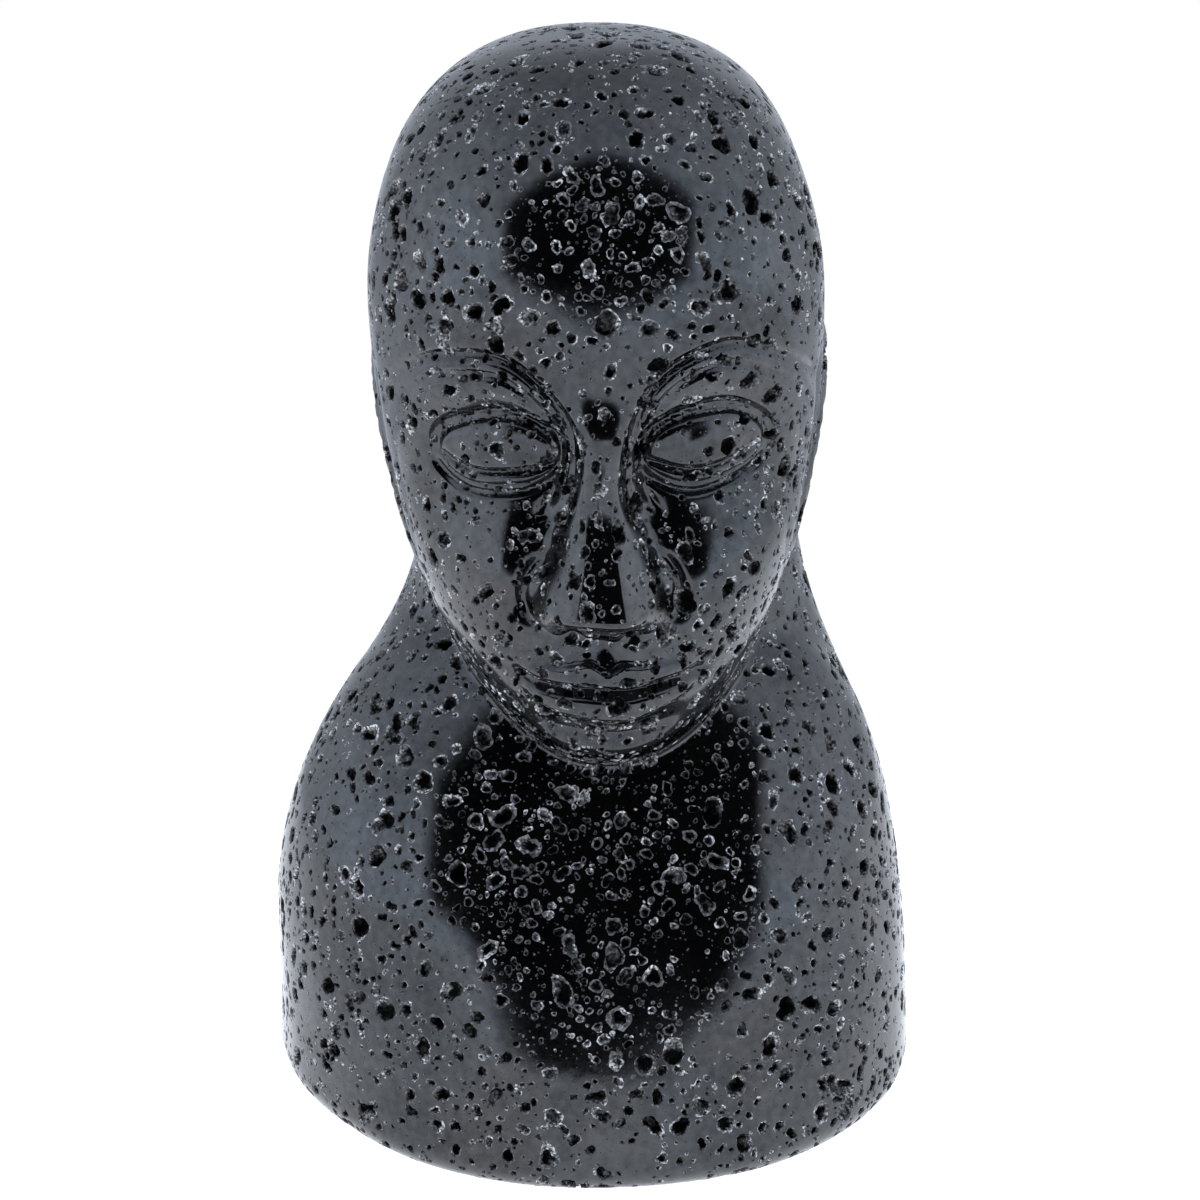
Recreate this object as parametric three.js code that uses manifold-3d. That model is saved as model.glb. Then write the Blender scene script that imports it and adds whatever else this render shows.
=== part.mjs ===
// A tiki figure: a bust carved from one block of vesicular basalt and polished, standing on a
// thin felt pad. Millimetres, +Z up, the face looks along -Y, and the origin is in the middle
// of the footprint on the surface that the figure stands on.
import * as THREE from 'three';
import { mergeVertices } from 'three/addons/utils/BufferGeometryUtils.js';
import Module from 'manifold-3d';

const wasm = await Module();
wasm.setup();

// ---- Driving dimensions ----
const crownHeight = 110;
const chinHeight = 40;
const padThickness = 1.2;
const padInset = 3.5;
const glueGap = 0.3;

const shoulderHalfWidth = 32.9;
const chestDepth = 32;
const backDepth = 25.5;
const shoulderTop = 55.6;
const bottomEdgeRadius = 4;
const footSideways = -0.35;
const shoulderLean = 1.7;
const shoulderTurn = THREE.MathUtils.degToRad(3.5);
const planPower = 2.2;
const frontSlopePower = 1.75;
const sideSlopePower = 2.75;
const backSlopePower = 2.4;
const leftShoulderSwell = 0.9;
const leftCornerCut = 1.8;

const headHalfWidth = 22;
const faceDepth = 24.5;
const skullDepth = 27;
const headForward = 2.5;
const headSideways = 0.4;
const widestHeight = 82;
const headPlanPower = 2.25;
const crownPower = 2.5;
const jawPower = 2.3;
const jawTaper = 0.2;
const jawForward = 6;
const headRoll = THREE.MathUtils.degToRad(1.6);

const napeCentre = new THREE.Vector3(1.5, 4, 48);
const napeRadii = new THREE.Vector3(20.4, 17, 30);

// Heights on the face, as shares of the height from chin to crown, and widths that follow the
// rule of five eye widths across the face.
const headHeight = crownHeight - chinHeight;
const atShare = (share) => chinHeight + share * headHeight;
const browHeight = atShare(0.6);
const eyeHeight = atShare(0.5);
const noseBaseHeight = atShare(0.28);
const mouthHeight = atShare(0.185);
const chinBallHeight = atShare(0.075);
const eyeWidth = (2 * headHalfWidth) / 5;

// ---- Small helpers ----
const clamp01 = (t) => Math.min(Math.max(t, 0), 1);
const smoothStep = (from, to, t) => THREE.MathUtils.smoothstep(t, from, to);
const mound = (d, width) => Math.exp(-((d / width) ** 2));
const signedPower = (v, power) => Math.sign(v) * Math.abs(v) ** power;

// How far the carved face stands in front of the smooth head, at a distance `side` from its
// middle line and a height `z`. Only the broad forms are here.
function faceRelief(side, z) {
  const orbitSide = (side - 1.15 * eyeWidth) / 8.6;
  const orbitRise = (z - eyeHeight) / (z > eyeHeight ? browHeight - eyeHeight : 9.5);
  const orbit = 2.1 * (1 - smoothStep(0.45, 1.1, Math.hypot(orbitSide, orbitRise)));
  const lidShape = 1 - ((side - 1.08 * eyeWidth) / 5.6) ** 2 - ((z - eyeHeight) / 3.1) ** 2;
  const eyelid = 1.9 * Math.sqrt(Math.max(lidShape, 0));

  const alongNose = clamp01((browHeight - z) / (browHeight - noseBaseHeight));
  const noseHalfWidth = 2.9 + 3.5 * alongNose ** 2.2;
  const noseSection = 1 - smoothStep(0.3, 1.15, side / noseHalfWidth);
  const noseEnd = smoothStep(noseBaseHeight - 1.4, noseBaseHeight + 0.6, z);
  const nose = (0.4 + 4 * alongNose ** 1.4) * noseSection * noseEnd * smoothStep(0, 0.2, alongNose);
  const besideNose = 1.3 * mound(side - noseHalfWidth - 1, 1.8) * smoothStep(0.1, 0.4, alongNose) * noseEnd;

  const muzzle = 1.5 * mound(side, 9.5) * mound(z - mouthHeight, 6.5);
  const mouthSpan = 1 - smoothStep(6.5, 9, side);
  const lips = 1 * mound(z - mouthHeight, 2.8) * mouthSpan;
  const mouthLine = 1 * mound(z - mouthHeight, 1) * mouthSpan;
  const crescentHeight = mouthHeight - 5 + 3.4 * (side / 9) ** 2;
  const crescent = 1.4 * mound(z - crescentHeight, 1.4) * (1 - smoothStep(7, 10, side));
  const chinBall = 1.6 * mound(side, 8) * mound(z - chinBallHeight, 4.5);

  return nose + eyelid + muzzle + lips + chinBall - orbit - besideNose - mouthLine - crescent;
}

// How far a long, low ear stands out from the side of the head, at a distance behind its middle.
function earRelief(backward, z) {
  const earMiddle = eyeHeight - 6;
  const lengthwise = 1 - smoothStep(7, 13, Math.abs(z - earMiddle));
  return 0.45 * mound(backward - 2, 4) * lengthwise;
}

// ---- Turning three.js geometry into solids and back ----
function solidOf(geometry) {
  geometry.deleteAttribute('normal');
  geometry.deleteAttribute('uv');
  const merged = mergeVertices(geometry, 1e-4);
  const corners = Array.from(merged.index.array);
  const kept = [];
  for (let i = 0; i < corners.length; i += 3) {
    const [a, b, c] = corners.slice(i, i + 3);
    if (a !== b && b !== c && c !== a) kept.push(a, b, c);
  }
  return new wasm.Manifold(new wasm.Mesh({
    numProp: 3,
    vertProperties: merged.attributes.position.array,
    triVerts: Uint32Array.from(kept),
  }));
}

function geometryOf(solid) {
  const { vertProperties, triVerts } = solid.getMesh();
  const geometry = new THREE.BufferGeometry();
  geometry.setAttribute('position', new THREE.BufferAttribute(vertProperties, 3));
  geometry.setIndex(new THREE.BufferAttribute(triVerts, 1));
  geometry.computeVertexNormals();
  return geometry;
}

// Calls move(point) on each vertex.
function reshape(geometry, move) {
  const position = geometry.attributes.position;
  const point = new THREE.Vector3();
  for (let i = 0; i < position.count; i++) {
    point.fromBufferAttribute(position, i);
    move(point);
    position.setXYZ(i, point.x, point.y, point.z);
  }
  return geometry;
}

// ---- The head: a tall egg with its carved face ----
function headGeometry() {
  const aroundSteps = 72;
  const heightSteps = 56;
  const faceCrowding = 0.5; // vertices gather towards the face
  const middleCrowding = 0.2; // and towards its middle height
  const sphere = new THREE.SphereGeometry(1, aroundSteps, heightSteps);
  return reshape(sphere, (p) => {
    const evenLatitude = Math.asin(THREE.MathUtils.clamp(p.y, -1, 1));
    const latitude = evenLatitude - middleCrowding * Math.sin(2 * evenLatitude);
    const evenTurn = Math.atan2(p.x, p.z);
    const turn = evenTurn - faceCrowding * Math.sin(evenTurn); // 0 at the face, positive to +X
    const rise = Math.sin(latitude);
    const power = rise > 0 ? crownPower : jawPower;
    const reach = rise > 0 ? crownHeight - widestHeight : widestHeight - chinHeight;
    const ring = Math.max(1 - Math.abs(rise) ** power, 0) ** (1 / power);
    const width = headHalfWidth * (1 - jawTaper * clamp01(-rise) ** 1.6);
    const depth = Math.cos(turn) > 0 ? faceDepth : skullDepth;

    let x = width * ring * signedPower(Math.sin(turn), 2 / headPlanPower);
    let y = -depth * ring * signedPower(Math.cos(turn), 2 / headPlanPower);
    const above = reach * rise;
    const z = widestHeight + above;
    x += Math.sign(x) * earRelief(y, z) * smoothStep(0.5, 0.8, Math.abs(x) / headHalfWidth);
    y -= faceRelief(Math.abs(x), z) * smoothStep(0, 9, -y);

    p.set(
      headSideways + x * Math.cos(headRoll) - above * Math.sin(headRoll),
      y - headForward - jawForward * smoothStep(0.15, 1, -rise),
      widestHeight + above * Math.cos(headRoll) + x * Math.sin(headRoll),
    );
  });
}

// ---- The nape: a mass that carries the back of the head down into the shoulders ----
function napeGeometry() {
  return reshape(new THREE.SphereGeometry(1, 36, 26), (p) => p.multiply(napeRadii).add(napeCentre));
}

// ---- The shoulders: an oval block that slopes in to the neck ----
// How far the footprint's outline is from its middle, at an angle from the middle of the chest.
function outlineRadius(turn) {
  const depth = Math.cos(turn) > 0 ? chestDepth : backDepth;
  const across = Math.abs(Math.sin(turn)) / shoulderHalfWidth;
  const along = Math.abs(Math.cos(turn)) / depth;
  return (across ** planPower + along ** planPower) ** (-1 / planPower);
}

function slopePower(turn) {
  const facing = Math.cos(turn);
  const endPower = facing > 0 ? frontSlopePower : backSlopePower;
  return sideSlopePower + (endPower - sideSlopePower) * facing ** 2;
}

// The block was cut by hand: one shoulder is fuller, and one front corner is cut further back.
function handCut(turn, z) {
  const shoulder = leftShoulderSwell * mound(turn + 1.5, 0.7) * mound(z - 27, 11);
  const corner = leftCornerCut * mound(turn + 0.85, 0.5) * mound(z, 28);
  return shoulder - corner;
}

// A point of the block at an angle from the middle of the chest.
function placed(radius, turn, z) {
  const sideways = footSideways + shoulderLean * (z / shoulderTop) ** 3;
  return [radius * Math.sin(turn + shoulderTurn) + sideways, -radius * Math.cos(turn + shoulderTurn), z];
}

function shoulderGeometry() {
  const aroundSteps = 60;
  const edgeSteps = 3;
  const riseSteps = 18;
  const bottom = padThickness + glueGap;
  const rise = shoulderTop - bottom - bottomEdgeRadius;
  const profile = [new THREE.Vector2(0, 0)];
  for (let i = 0; i <= edgeSteps; i++) {
    profile.push(new THREE.Vector2(1, (i / edgeSteps) * bottomEdgeRadius));
  }
  for (let i = 1; i <= riseSteps; i++) {
    const up = Math.sin((i / riseSteps) * (Math.PI / 2));
    profile.push(new THREE.Vector2(1 - i / riseSteps, bottomEdgeRadius + up * rise));
  }
  return reshape(new THREE.LatheGeometry(profile, aroundSteps), (p) => {
    const turn = Math.atan2(p.x, p.z);
    const z = bottom + p.y;
    const belowEdge = bottomEdgeRadius - Math.min(p.y, bottomEdgeRadius);
    const edgeInset = bottomEdgeRadius - Math.sqrt(bottomEdgeRadius ** 2 - belowEdge ** 2);
    const power = slopePower(turn);
    const slope = Math.max(1 - (z / shoulderTop) ** power, 0) ** (1 / power);
    const onAxis = Math.hypot(p.x, p.z) < 1e-6;
    const radius = onAxis ? 0 : outlineRadius(turn) * slope - edgeInset + handCut(turn, z) * slope;
    p.set(...placed(radius, turn, z));
  });
}

// ---- The felt pad glued under the bust ----
function padGeometry() {
  const inset = bottomEdgeRadius + padInset;
  const outline = new THREE.Shape();
  const steps = 64;
  for (let i = 0; i < steps; i++) {
    const turn = (i / steps) * 2 * Math.PI - Math.PI;
    const [x, y] = placed(outlineRadius(turn) + handCut(turn, 0) - inset, turn, 0);
    if (i === 0) outline.moveTo(x, y);
    else outline.lineTo(x, y);
  }
  outline.closePath();
  return new THREE.ExtrudeGeometry(outline, { depth: padThickness, bevelEnabled: false });
}

// ---- Assembly ----
const stone = new THREE.MeshStandardMaterial({ color: 0x141518, roughness: 0.12, metalness: 0 });
const felt = new THREE.MeshStandardMaterial({ color: 0x1c1c1f, roughness: 0.95, metalness: 0 });

const bustSolid = solidOf(headGeometry()).add(solidOf(napeGeometry())).add(solidOf(shoulderGeometry()));
const bust = new THREE.Mesh(geometryOf(bustSolid), stone);
bust.name = 'carved_stone_bust';

const pad = new THREE.Mesh(geometryOf(solidOf(padGeometry())), felt);
pad.name = 'felt_base_pad';

const tikiFigure = new THREE.Group();
tikiFigure.add(bust, pad);

// The middle of the footprint goes to the origin.
const middle = new THREE.Box3().setFromObject(tikiFigure).getCenter(new THREE.Vector3());
tikiFigure.position.set(-middle.x, -middle.y, 0);

export default tikiFigure;
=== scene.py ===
import math

import bmesh
import bpy
import numpy as np
from mathutils import Matrix, Vector
from mathutils.kdtree import KDTree


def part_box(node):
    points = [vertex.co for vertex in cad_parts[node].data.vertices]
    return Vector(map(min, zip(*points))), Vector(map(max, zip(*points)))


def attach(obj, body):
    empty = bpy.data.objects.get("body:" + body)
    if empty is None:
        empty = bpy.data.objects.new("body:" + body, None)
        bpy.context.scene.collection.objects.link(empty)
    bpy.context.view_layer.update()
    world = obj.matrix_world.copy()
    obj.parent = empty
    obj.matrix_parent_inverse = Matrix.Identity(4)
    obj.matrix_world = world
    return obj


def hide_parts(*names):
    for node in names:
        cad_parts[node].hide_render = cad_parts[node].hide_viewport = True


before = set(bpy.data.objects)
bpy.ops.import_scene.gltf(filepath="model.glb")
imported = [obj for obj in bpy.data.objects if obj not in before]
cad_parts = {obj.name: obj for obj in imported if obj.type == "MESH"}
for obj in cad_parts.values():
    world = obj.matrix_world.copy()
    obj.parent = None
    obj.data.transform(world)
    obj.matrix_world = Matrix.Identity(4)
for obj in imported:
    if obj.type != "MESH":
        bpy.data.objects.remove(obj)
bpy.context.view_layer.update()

# A polished bust of vesicular lava stone on a felt pad. The stone is sculpted here as a field of
# signed distances in millimetres, in the carver's own frame: +Z up, the face along -Y, the middle
# of the shoulders' footprint near the origin. It is turned into a mesh, its pores are cut, and the
# result is fitted into the box of the CAD node that it stands for, in metres.

MM = 0.001
STONE_NODE = "carved_stone_bust"
PAD_NODE = "felt_base_pad"

# ---- The bust's driving dimensions, in millimetres ----
CROWN_HEIGHT = 110.0
CHIN_HEIGHT = 40.0
STONE_BOTTOM = 1.5

SHOULDER_HALF_WIDTH = 32.9
CHEST_DEPTH = 32.0
BACK_DEPTH = 25.5
SHOULDER_TOP = 55.6
BOTTOM_EDGE_RADIUS = 4.0
PAD_INSET = 3.5
FOOT_SIDEWAYS = -0.35
SHOULDER_LEAN = 1.7
SHOULDER_TURN = math.radians(3.5)
PLAN_POWER = 2.2
FRONT_SLOPE_POWER = 1.75
SIDE_SLOPE_POWER = 2.75
BACK_SLOPE_POWER = 2.4
LEFT_SHOULDER_SWELL = 0.9
LEFT_CORNER_CUT = 1.8

HEAD_HALF_WIDTH = 22.0
FACE_DEPTH = 24.5
SKULL_DEPTH = 27.0
HEAD_FORWARD = 2.5
HEAD_SIDEWAYS = 0.4
WIDEST_HEIGHT = 82.0
HEAD_PLAN_POWER = 2.25
CROWN_POWER = 2.5
JAW_POWER = 2.3
JAW_TAPER = 0.2
JAW_FORWARD = 6.0
HEAD_ROLL = math.radians(1.6)

NAPE_CENTRE = (1.5, 4.0, 48.0)
NAPE_RADII = (20.4, 17.0, 30.0)

# Heights on the face are shares of the height from chin to crown, and the face is five eyes wide.
HEAD_HEIGHT = CROWN_HEIGHT - CHIN_HEIGHT
BROW_HEIGHT = CHIN_HEIGHT + 0.6 * HEAD_HEIGHT
EYE_HEIGHT = CHIN_HEIGHT + 0.5 * HEAD_HEIGHT
NOSE_BASE_HEIGHT = CHIN_HEIGHT + 0.28 * HEAD_HEIGHT
MOUTH_HEIGHT = CHIN_HEIGHT + 0.185 * HEAD_HEIGHT
CHIN_BALL_HEIGHT = CHIN_HEIGHT + 0.075 * HEAD_HEIGHT
EYE_WIDTH = 2 * HEAD_HALF_WIDTH / 5
EYE_SIDE = 1.08 * EYE_WIDTH

# ---- The grid that the stone is meshed on: fine over the face, coarser elsewhere ----
GRID_SIDE = 34.5
GRID_BACK = 27.5
GRID_LOW = 0.2
GRID_HIGH = 112.0
FINE_STEP = 0.34
COARSE_STEP = 0.74
FINE_HALF_WIDTH = 17.5
FINE_BACK = -13.0
FINE_LOW = 38.0
FINE_HIGH = 86.0

# ---- Pores ----
PORE_SEED = 7
PORES_PER_SQUARE_MM = 1.0
MEDIAN_PORE = 0.58
PORE_SPREAD = 0.58
SMALLEST_PORE = 0.3
LARGEST_PORE = 2.6
CLUSTER_COUNT = 190
CROWDED_GROUPS = 7
# Rings of a pore of radius 1 from its floor up, as (height, radius).
SPECK_RINGS = ((-0.66, 0.6), (0.04, 1.0), (0.6, 1.0))
SMALL_RINGS = ((-0.8, 0.55), (-0.18, 0.84), (0.03, 1.0), (0.6, 1.0))
MEDIUM_RINGS = ((-0.9, 0.45), (-0.55, 0.74), (-0.18, 0.84), (0.02, 1.0), (0.5, 1.0))
LARGE_RINGS = ((-0.95, 0.4), (-0.75, 0.62), (-0.45, 0.76), (-0.16, 0.82), (0.02, 1.0), (0.45, 1.0))
# Smallest and largest radius, segments, rings and roughness.
PORE_CLASSES = (
    (0.0, 0.2, 6, SPECK_RINGS, 0.05),
    (0.2, 0.32, 8, SMALL_RINGS, 0.07),
    (0.32, 0.56, 11, MEDIUM_RINGS, 0.085),
    (0.56, 9.0, 15, LARGE_RINGS, 0.09),
)


# ---- Small helpers ----
def clamp01(t):
    return np.clip(t, 0.0, 1.0)


def smooth_step(start, end, t):
    t = clamp01((t - start) / (end - start))
    return t * t * (3 - 2 * t)


def mound(distance, width):
    return np.exp(-((distance / width) ** 2))


def blend_of(a, b, share):
    return a + (b - a) * share


def smooth_union(a, b, reach):
    share = clamp01(0.5 + 0.5 * (b - a) / reach)
    return blend_of(b, a, share) - reach * share * (1 - share)


def ellipse_line(across, up, half_width, half_height):
    """About how far a point is outside an ellipse's line."""
    return (np.hypot(across / half_width, up / half_height) - 1) * (half_width + half_height) / 2


# ---- The face: broad forms, then the chisel's lines ----
def eye_relief(side, z):
    outward = side - EYE_SIDE
    rise = z - EYE_HEIGHT
    orbit_height = np.where(rise > 0, BROW_HEIGHT - EYE_HEIGHT, 9.5)
    hollow = np.hypot((side - 1.15 * EYE_WIDTH) / 8.6, rise / orbit_height)
    edge = blend_of(1.1, 1.5, smooth_step(-1, 6, -rise))
    orbit = 3.0 * (1 - smooth_step(0.3, edge, hollow))
    lid = 2.2 * np.sqrt(np.maximum(1 - (outward / 5.6) ** 2 - (rise / 3.3) ** 2, 0)) ** 0.8
    upper_crease = 0.65 * mound(ellipse_line(outward, rise, 6.3, 4.1), 0.5) * smooth_step(-1.5, 0.5, rise)
    lower_crease = 0.5 * mound(ellipse_line(outward, rise, 6.3, 4.3), 0.48) * smooth_step(0.5, 2.0, -rise)
    bow = 1 - (outward / 5.5) ** 2
    closed_line = 0.9 * mound(rise + 0.5 + 1.3 * bow, 0.42) * smooth_step(-0.05, 0.2, bow)
    return lid - orbit - upper_crease - lower_crease - closed_line


def brow_relief(side, z):
    """Two cut arcs over each eye that run down beside the nose."""
    outward = side - 11.6
    rise = z - (EYE_HEIGHT - 0.5)
    total = 0
    for half_width, half_height, depth in ((9.3, 10.4, 0.8), (7.9, 8.6, 0.55)):
        lowest = blend_of(-0.75, 0.05, smooth_step(-0.4, 0.6, outward / half_width))
        reach = smooth_step(lowest, lowest + 0.35, rise / half_height)
        total = total - depth * mound(ellipse_line(outward, rise, half_width, half_height), 0.52) * reach
    return total


def nose_relief(side, z):
    along = clamp01((BROW_HEIGHT - z) / (BROW_HEIGHT - NOSE_BASE_HEIGHT))
    half_width = 2.9 + 3.5 * along**2.2
    section = 1 - smooth_step(0.3, 1.15, side / half_width)
    end = smooth_step(NOSE_BASE_HEIGHT - 1.8, NOSE_BASE_HEIGHT + 1.9, z)
    nose = (0.5 + 4.4 * along**1.4) * section * end * smooth_step(0, 0.2, along)
    beside = 1.1 * mound(side - half_width - 1, 1.8) * smooth_step(0.1, 0.4, along) * end
    above_base = z - NOSE_BASE_HEIGHT
    wing = 0.8 * mound(side - 4.7, 1.7) * mound(above_base - 2.4, 1.9)
    wing_line = ellipse_line(side - 4.0, above_base - 2.2, 3.3, 3.6)
    wing_cut = 0.42 * mound(wing_line, 0.6) * smooth_step(4.2, 5.4, side)
    wing_groove = wing_cut * smooth_step(-1.6, 0.6, above_base)
    nostril = 1.3 * mound(side - 2.7, 1.0) * mound(above_base + 0.5, 0.8)
    return nose + wing - beside - wing_groove - nostril


def mouth_relief(side, z):
    muzzle = 1.5 * mound(side, 9.5) * mound(z - MOUTH_HEIGHT, 6.5)
    line_height = MOUTH_HEIGHT + 0.5 * (side / 8) ** 2
    above = z - line_height
    span = 1 - smooth_step(6.8, 8.6, side)
    fullness = np.sqrt(np.maximum(1 - (side / 8.8) ** 2, 0))
    upper_edge = 0.4 + 2.5 * fullness - 0.5 * mound(side, 1.0) + 0.35 * mound(side - 1.7, 1.0)
    lower_edge = 0.4 + 3.0 * fullness
    upper_lip = 0.75 * smooth_step(-0.15, 0.55, upper_edge - above) * smooth_step(-0.2, 0.2, above)
    lower_lip = 0.95 * smooth_step(-0.15, 0.7, lower_edge + above) * smooth_step(-0.2, 0.2, -above)
    line = 1.35 * mound(above, 0.6) * (1 - smooth_step(7.4, 9.2, side))
    corner = 0.5 * mound(side - 8.6, 1.0) * mound(above, 1.1)
    crescent_height = MOUTH_HEIGHT - 5.2 + 2 * (side / 9) ** 2
    crescent = 1.3 * mound(z - crescent_height, 1.4) * (1 - smooth_step(3.5, 8, side))
    groove_top = smooth_step(0.2, 1.4, NOSE_BASE_HEIGHT - z)
    groove_length = groove_top * smooth_step(2.0, 4.4, z - MOUTH_HEIGHT)
    philtrum = (0.2 * mound(side - 2.1, 1.0) - 0.45 * mound(side, 1.2)) * groove_length
    chin_ball = 1.6 * mound(side, 8) * mound(z - CHIN_BALL_HEIGHT, 4.5)
    return muzzle + (upper_lip + lower_lip) * span + philtrum + chin_ball - line - corner - crescent


def cheek_relief(side, z):
    return 0.9 * mound(side - 12, 5) * mound(z - NOSE_BASE_HEIGHT - 4, 7)


def face_relief(across, z):
    """How far the carved face stands in front of the smooth head, with a hand's small errors."""
    across = across + 0.22 * np.sin(0.21 * z + 0.6)
    z = z + 0.16 * np.sin(0.37 * across + 1.1) + 0.1 * np.sin(0.9 * across)
    side = np.abs(across) + 0.12 * np.sin(0.55 * z) * np.sign(across)
    upper = eye_relief(side, z) + brow_relief(side, z) + cheek_relief(side, z)
    return upper + nose_relief(side, z) + mouth_relief(side, z)


def ear_relief(backward, z):
    """A long, low ear: an oval slab with a rim, and a valley between it and the face."""
    rise = z - (EYE_HEIGHT - 6)
    lean = backward - 1.5 - 0.08 * rise
    oval = np.hypot(lean / 5.4, rise / np.where(rise > 0, 12.5, 14.0))
    slab = 0.55 * (1 - smooth_step(0.82, 1.04, oval))
    rim_groove = 0.6 * mound(oval - 0.62, 0.13) * smooth_step(-6, 2, rise)
    hollow = 0.8 * mound(lean + 0.6, 1.8) * mound(rise + 1, 5)
    valley = 0.6 * mound(backward + 5.6, 1.4) * (1 - smooth_step(7, 14, np.abs(rise)))
    return slab - rim_groove - hollow - valley


# ---- The bust as a field of distances ----
def head_field(x, y, z):
    turned_x = x - HEAD_SIDEWAYS
    turned_z = z - WIDEST_HEIGHT
    across = turned_x * math.cos(HEAD_ROLL) + turned_z * math.sin(HEAD_ROLL)
    above = turned_z * math.cos(HEAD_ROLL) - turned_x * math.sin(HEAD_ROLL)
    level = WIDEST_HEIGHT + above
    rise = above / np.where(above > 0, CROWN_HEIGHT - WIDEST_HEIGHT, WIDEST_HEIGHT - CHIN_HEIGHT)
    deep = y + HEAD_FORWARD + JAW_FORWARD * smooth_step(0.15, 1, -rise)
    power = np.where(above > 0, CROWN_POWER, JAW_POWER)
    width = HEAD_HALF_WIDTH * (1 - JAW_TAPER * clamp01(-rise) ** 1.6)
    ear = ear_relief(deep, level) * smooth_step(0.5, 0.8, np.abs(across) / HEAD_HALF_WIDTH)
    plain_across = np.maximum(np.abs(across) - ear, 0)
    plain_deep = deep + face_relief(across, level) * smooth_step(0, 9, -deep)
    depth = np.where(plain_deep < 0, FACE_DEPTH, SKULL_DEPTH)
    plan = (plain_across / width) ** HEAD_PLAN_POWER + (np.abs(plain_deep) / depth) ** HEAD_PLAN_POWER
    size = (plan ** (power / HEAD_PLAN_POWER) + np.abs(rise) ** power) ** (1 / power)
    reach = np.sqrt(across**2 + deep**2 + above**2)
    return reach * (1 - 1 / np.maximum(size, 0.2))


def nape_field(x, y, z):
    offsets = (x - NAPE_CENTRE[0], y - NAPE_CENTRE[1], z - NAPE_CENTRE[2])
    size = np.sqrt(sum((d / radius) ** 2 for d, radius in zip(offsets, NAPE_RADII)))
    reach = np.sqrt(sum(d**2 for d in offsets))
    return reach * (1 - 1 / np.maximum(size, 0.2))


def outline_radius(turn):
    """How far the footprint's outline is from its middle, at an angle from the chest's middle."""
    depth = np.where(np.cos(turn) > 0, CHEST_DEPTH, BACK_DEPTH)
    across = np.abs(np.sin(turn)) / SHOULDER_HALF_WIDTH
    along = np.abs(np.cos(turn)) / depth
    return (across**PLAN_POWER + along**PLAN_POWER) ** (-1 / PLAN_POWER)


def hand_cut(turn, z):
    """One shoulder is fuller, and one front corner is cut further back."""
    shoulder = LEFT_SHOULDER_SWELL * mound(turn + 1.5, 0.7) * mound(z - 27, 11)
    corner = LEFT_CORNER_CUT * mound(turn + 0.85, 0.5) * mound(z, 28)
    return shoulder - corner


def shoulder_field(x, y, z):
    share = np.maximum(z, 0) / SHOULDER_TOP
    sideways = FOOT_SIDEWAYS + SHOULDER_LEAN * share**3
    turn = np.arctan2(x - sideways, -y) - SHOULDER_TURN
    radius = np.hypot(x - sideways, y)
    facing = np.cos(turn)
    end_power = np.where(facing > 0, FRONT_SLOPE_POWER, BACK_SLOPE_POWER)
    power = SIDE_SLOPE_POWER + (end_power - SIDE_SLOPE_POWER) * facing**2
    outline = outline_radius(turn) + hand_cut(turn, z)
    size = ((radius / outline) ** power + share**power) ** (1 / power)
    return np.hypot(radius, z) * (1 - 1 / np.maximum(size, 0.2))


def hand_waves(x, y, z):
    """The slow unevenness that grinding and polishing by hand leaves."""
    rng = np.random.default_rng(3)
    total = 0
    for _ in range(12):
        direction = rng.normal(size=3)
        direction /= np.linalg.norm(direction)
        length = rng.uniform(8, 34)
        turns = 2 * math.pi / length
        phase = rng.uniform(0, 2 * math.pi)
        along = x * direction[0] + y * direction[1] + z * direction[2]
        total = total + 0.0024 * length * np.sin(turns * along + phase)
    return total


def stone_field(x, y, z):
    behind = smooth_step(-7, 9, y)
    head = smooth_union(head_field(x, y, z), nape_field(x, y, z), 0.8 + 5 * behind)
    body = smooth_union(head, shoulder_field(x, y, z), 0.9 + 6 * behind) - hand_waves(x, y, z)
    beyond_body = body + BOTTOM_EDGE_RADIUS
    below_edge = STONE_BOTTOM - z + BOTTOM_EDGE_RADIUS
    rounded = np.hypot(np.maximum(beyond_body, 0), np.maximum(below_edge, 0)) - BOTTOM_EDGE_RADIUS
    return np.where(
        (beyond_body > 0) & (below_edge > 0), rounded, np.maximum(body, STONE_BOTTOM - z)
    )


def field_at(points):
    return stone_field(points[:, 0], points[:, 1], points[:, 2])


def gradient_at(points, step=0.04):
    columns = []
    for axis in range(3):
        offset = np.zeros(3)
        offset[axis] = step
        columns.append((field_at(points + offset) - field_at(points - offset)) / (2 * step))
    return np.stack(columns, axis=1)


def normals_at(points):
    gradient = gradient_at(points)
    return gradient / np.linalg.norm(gradient, axis=1, keepdims=True)


# ---- From the field to a mesh: one vertex in each grid cell that the surface crosses ----
def grid_lines(low, high, fine_low, fine_high):
    before = np.arange(fine_low, low - COARSE_STEP, -COARSE_STEP)[::-1]
    fine = np.linspace(fine_low, fine_high, round((fine_high - fine_low) / FINE_STEP) + 1)
    after = np.arange(fine_high, high + COARSE_STEP, COARSE_STEP)
    return np.concatenate([before[:-1], fine, after[1:]])


def corner_slices(bits, shape):
    return tuple(slice(bit, size - 1 + bit) for bit, size in zip(bits, shape))


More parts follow.
